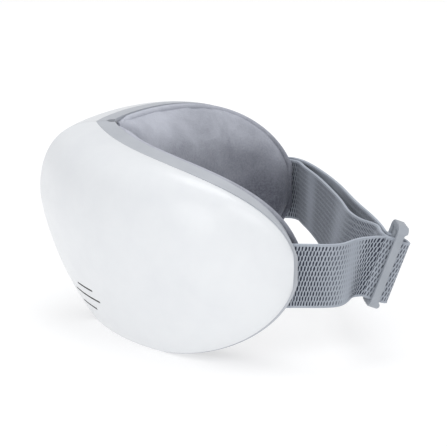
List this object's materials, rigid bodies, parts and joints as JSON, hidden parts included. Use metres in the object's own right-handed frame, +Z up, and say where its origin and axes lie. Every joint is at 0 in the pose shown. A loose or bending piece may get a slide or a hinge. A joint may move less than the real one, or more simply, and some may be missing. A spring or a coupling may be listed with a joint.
{
  "type": "eye massager mask",
  "caption": "Wrap-around eye massager: two hinged white pods with grey trim, suede face cushions, and an adjustable knitted elastic head strap with a three-bar slider.",
  "frame": {"origin": "on the surface the mask stands on, under the middle of its overall length and width", "axes": "+X to the wearer's left, +Y to the back of the head, +Z up"},
  "size_m": [0.1978, 0.1814, 0.1006],
  "materials": {
    "shell_white": "satin white moulded shell",
    "trim_grey": "satin light grey moulded plastic",
    "cushion_suede": "short-napped suede microfibre",
    "bladder_film": "thin welded film",
    "heater_film": "etched heating foil",
    "motor_steel": "drawn can",
    "rotor_steel": "turned and sintered",
    "screw_steel": "blackened self-tapping",
    "pin_steel": "ground",
    "slider_grey": "satin grey acetal",
    "strap_knit": "ribbed knitted elastic",
    "speaker_black": "black basket",
    "battery_wrap": "shrink wrap",
    "pump_plastic": "moulded",
    "hose_rubber": "silicone",
    "board_green": "solder mask",
    "socket_steel": "stamped",
    "button_grey": "soft satin"
  },
  "bodies": {
    "left_pod": {"left_air_bladder": "bladder_film", "left_face_cushion": "cushion_suede", "left_heating_film": "heater_film", "left_housing_screws": "screw_steel", "left_inner_housing": "trim_grey", "left_outer_shell": "shell_white", "left_speaker": "speaker_black", "left_strap_end": "strap_knit", "left_strap_pin": "pin_steel", "left_vibration_motor": "motor_steel", "battery": "battery_wrap", "air_pump": "pump_plastic", "air_hose": "hose_rubber", "hinge_pin": "pin_steel", "hinge_caps": "pin_steel", "seam_cable": "hose_rubber", "strap_left": "strap_knit", "strap_outer": "strap_knit", "strap_inner": "strap_knit"},
    "right_pod": {"right_air_bladder": "bladder_film", "right_face_cushion": "cushion_suede", "right_heating_film": "heater_film", "right_housing_screws": "screw_steel", "right_inner_housing": "trim_grey", "right_outer_shell": "shell_white", "right_speaker": "speaker_black", "right_strap_end": "strap_knit", "right_strap_pin": "pin_steel", "right_vibration_motor": "motor_steel", "circuit_board": "board_green", "charging_socket": "socket_steel", "air_valve": "pump_plastic"},
    "slider": {"strap_slider": "slider_grey", "strap_loop": "strap_knit", "strap_hem": "strap_knit"},
    "left_rotor": {"left_motor_rotor": "rotor_steel"},
    "right_rotor": {"right_motor_rotor": "rotor_steel"},
    "pump_rotor": {"pump_rotor": "rotor_steel"},
    "valve_plunger": {"valve_plunger": "rotor_steel"},
    "power_button": {"power_button": "button_grey"},
    "mode_button": {"mode_button": "button_grey"}
  },
  "joints": [
    {"name": "nose_fold", "type": "hinge", "parent": "left_pod", "child": "right_pod", "pos_m": [0, -0.05384, 0.05], "axis": [0, 0, 1], "range_deg": [-44, 0], "deforming": ["strap_outer", "strap_inner", "seam_cable"]},
    {"name": "slider_slide", "type": "slide", "parent": "left_pod", "child": "slider", "axis": [0.9903, 0.1392, 0], "range_m": [-0.008, 0.004], "deforming": ["strap_left", "strap_outer", "strap_inner"]},
    {"name": "left_rotor_spin", "type": "hinge", "parent": "left_pod", "child": "left_rotor", "pos_m": [0.09032, 0.00245, 0.0475], "axis": [0.3288, 0.9444, 0], "continuous": true},
    {"name": "right_rotor_spin", "type": "hinge", "parent": "right_pod", "child": "right_rotor", "pos_m": [-0.09032, 0.00245, 0.0475], "axis": [-0.3288, 0.9444, 0], "continuous": true},
    {"name": "pump_spin", "type": "hinge", "parent": "left_pod", "child": "pump_rotor", "pos_m": [0.0297, -0.06209, 0.052], "axis": [0, 0, 1], "continuous": true},
    {"name": "valve_stroke", "type": "slide", "parent": "right_pod", "child": "valve_plunger", "axis": [-0.2972, -0.9548, 0], "range_m": [-0.0008, 0], "stiffness_N_per_m": 120},
    {"name": "power_press", "type": "slide", "parent": "right_pod", "child": "power_button", "axis": [0.8019, 0.5975, 0], "range_m": [0, 0.0006], "stiffness_N_per_m": 900},
    {"name": "mode_press", "type": "slide", "parent": "right_pod", "child": "mode_button", "axis": [0.8019, 0.5975, 0], "range_m": [0, 0.0006], "stiffness_N_per_m": 900}
  ]
}
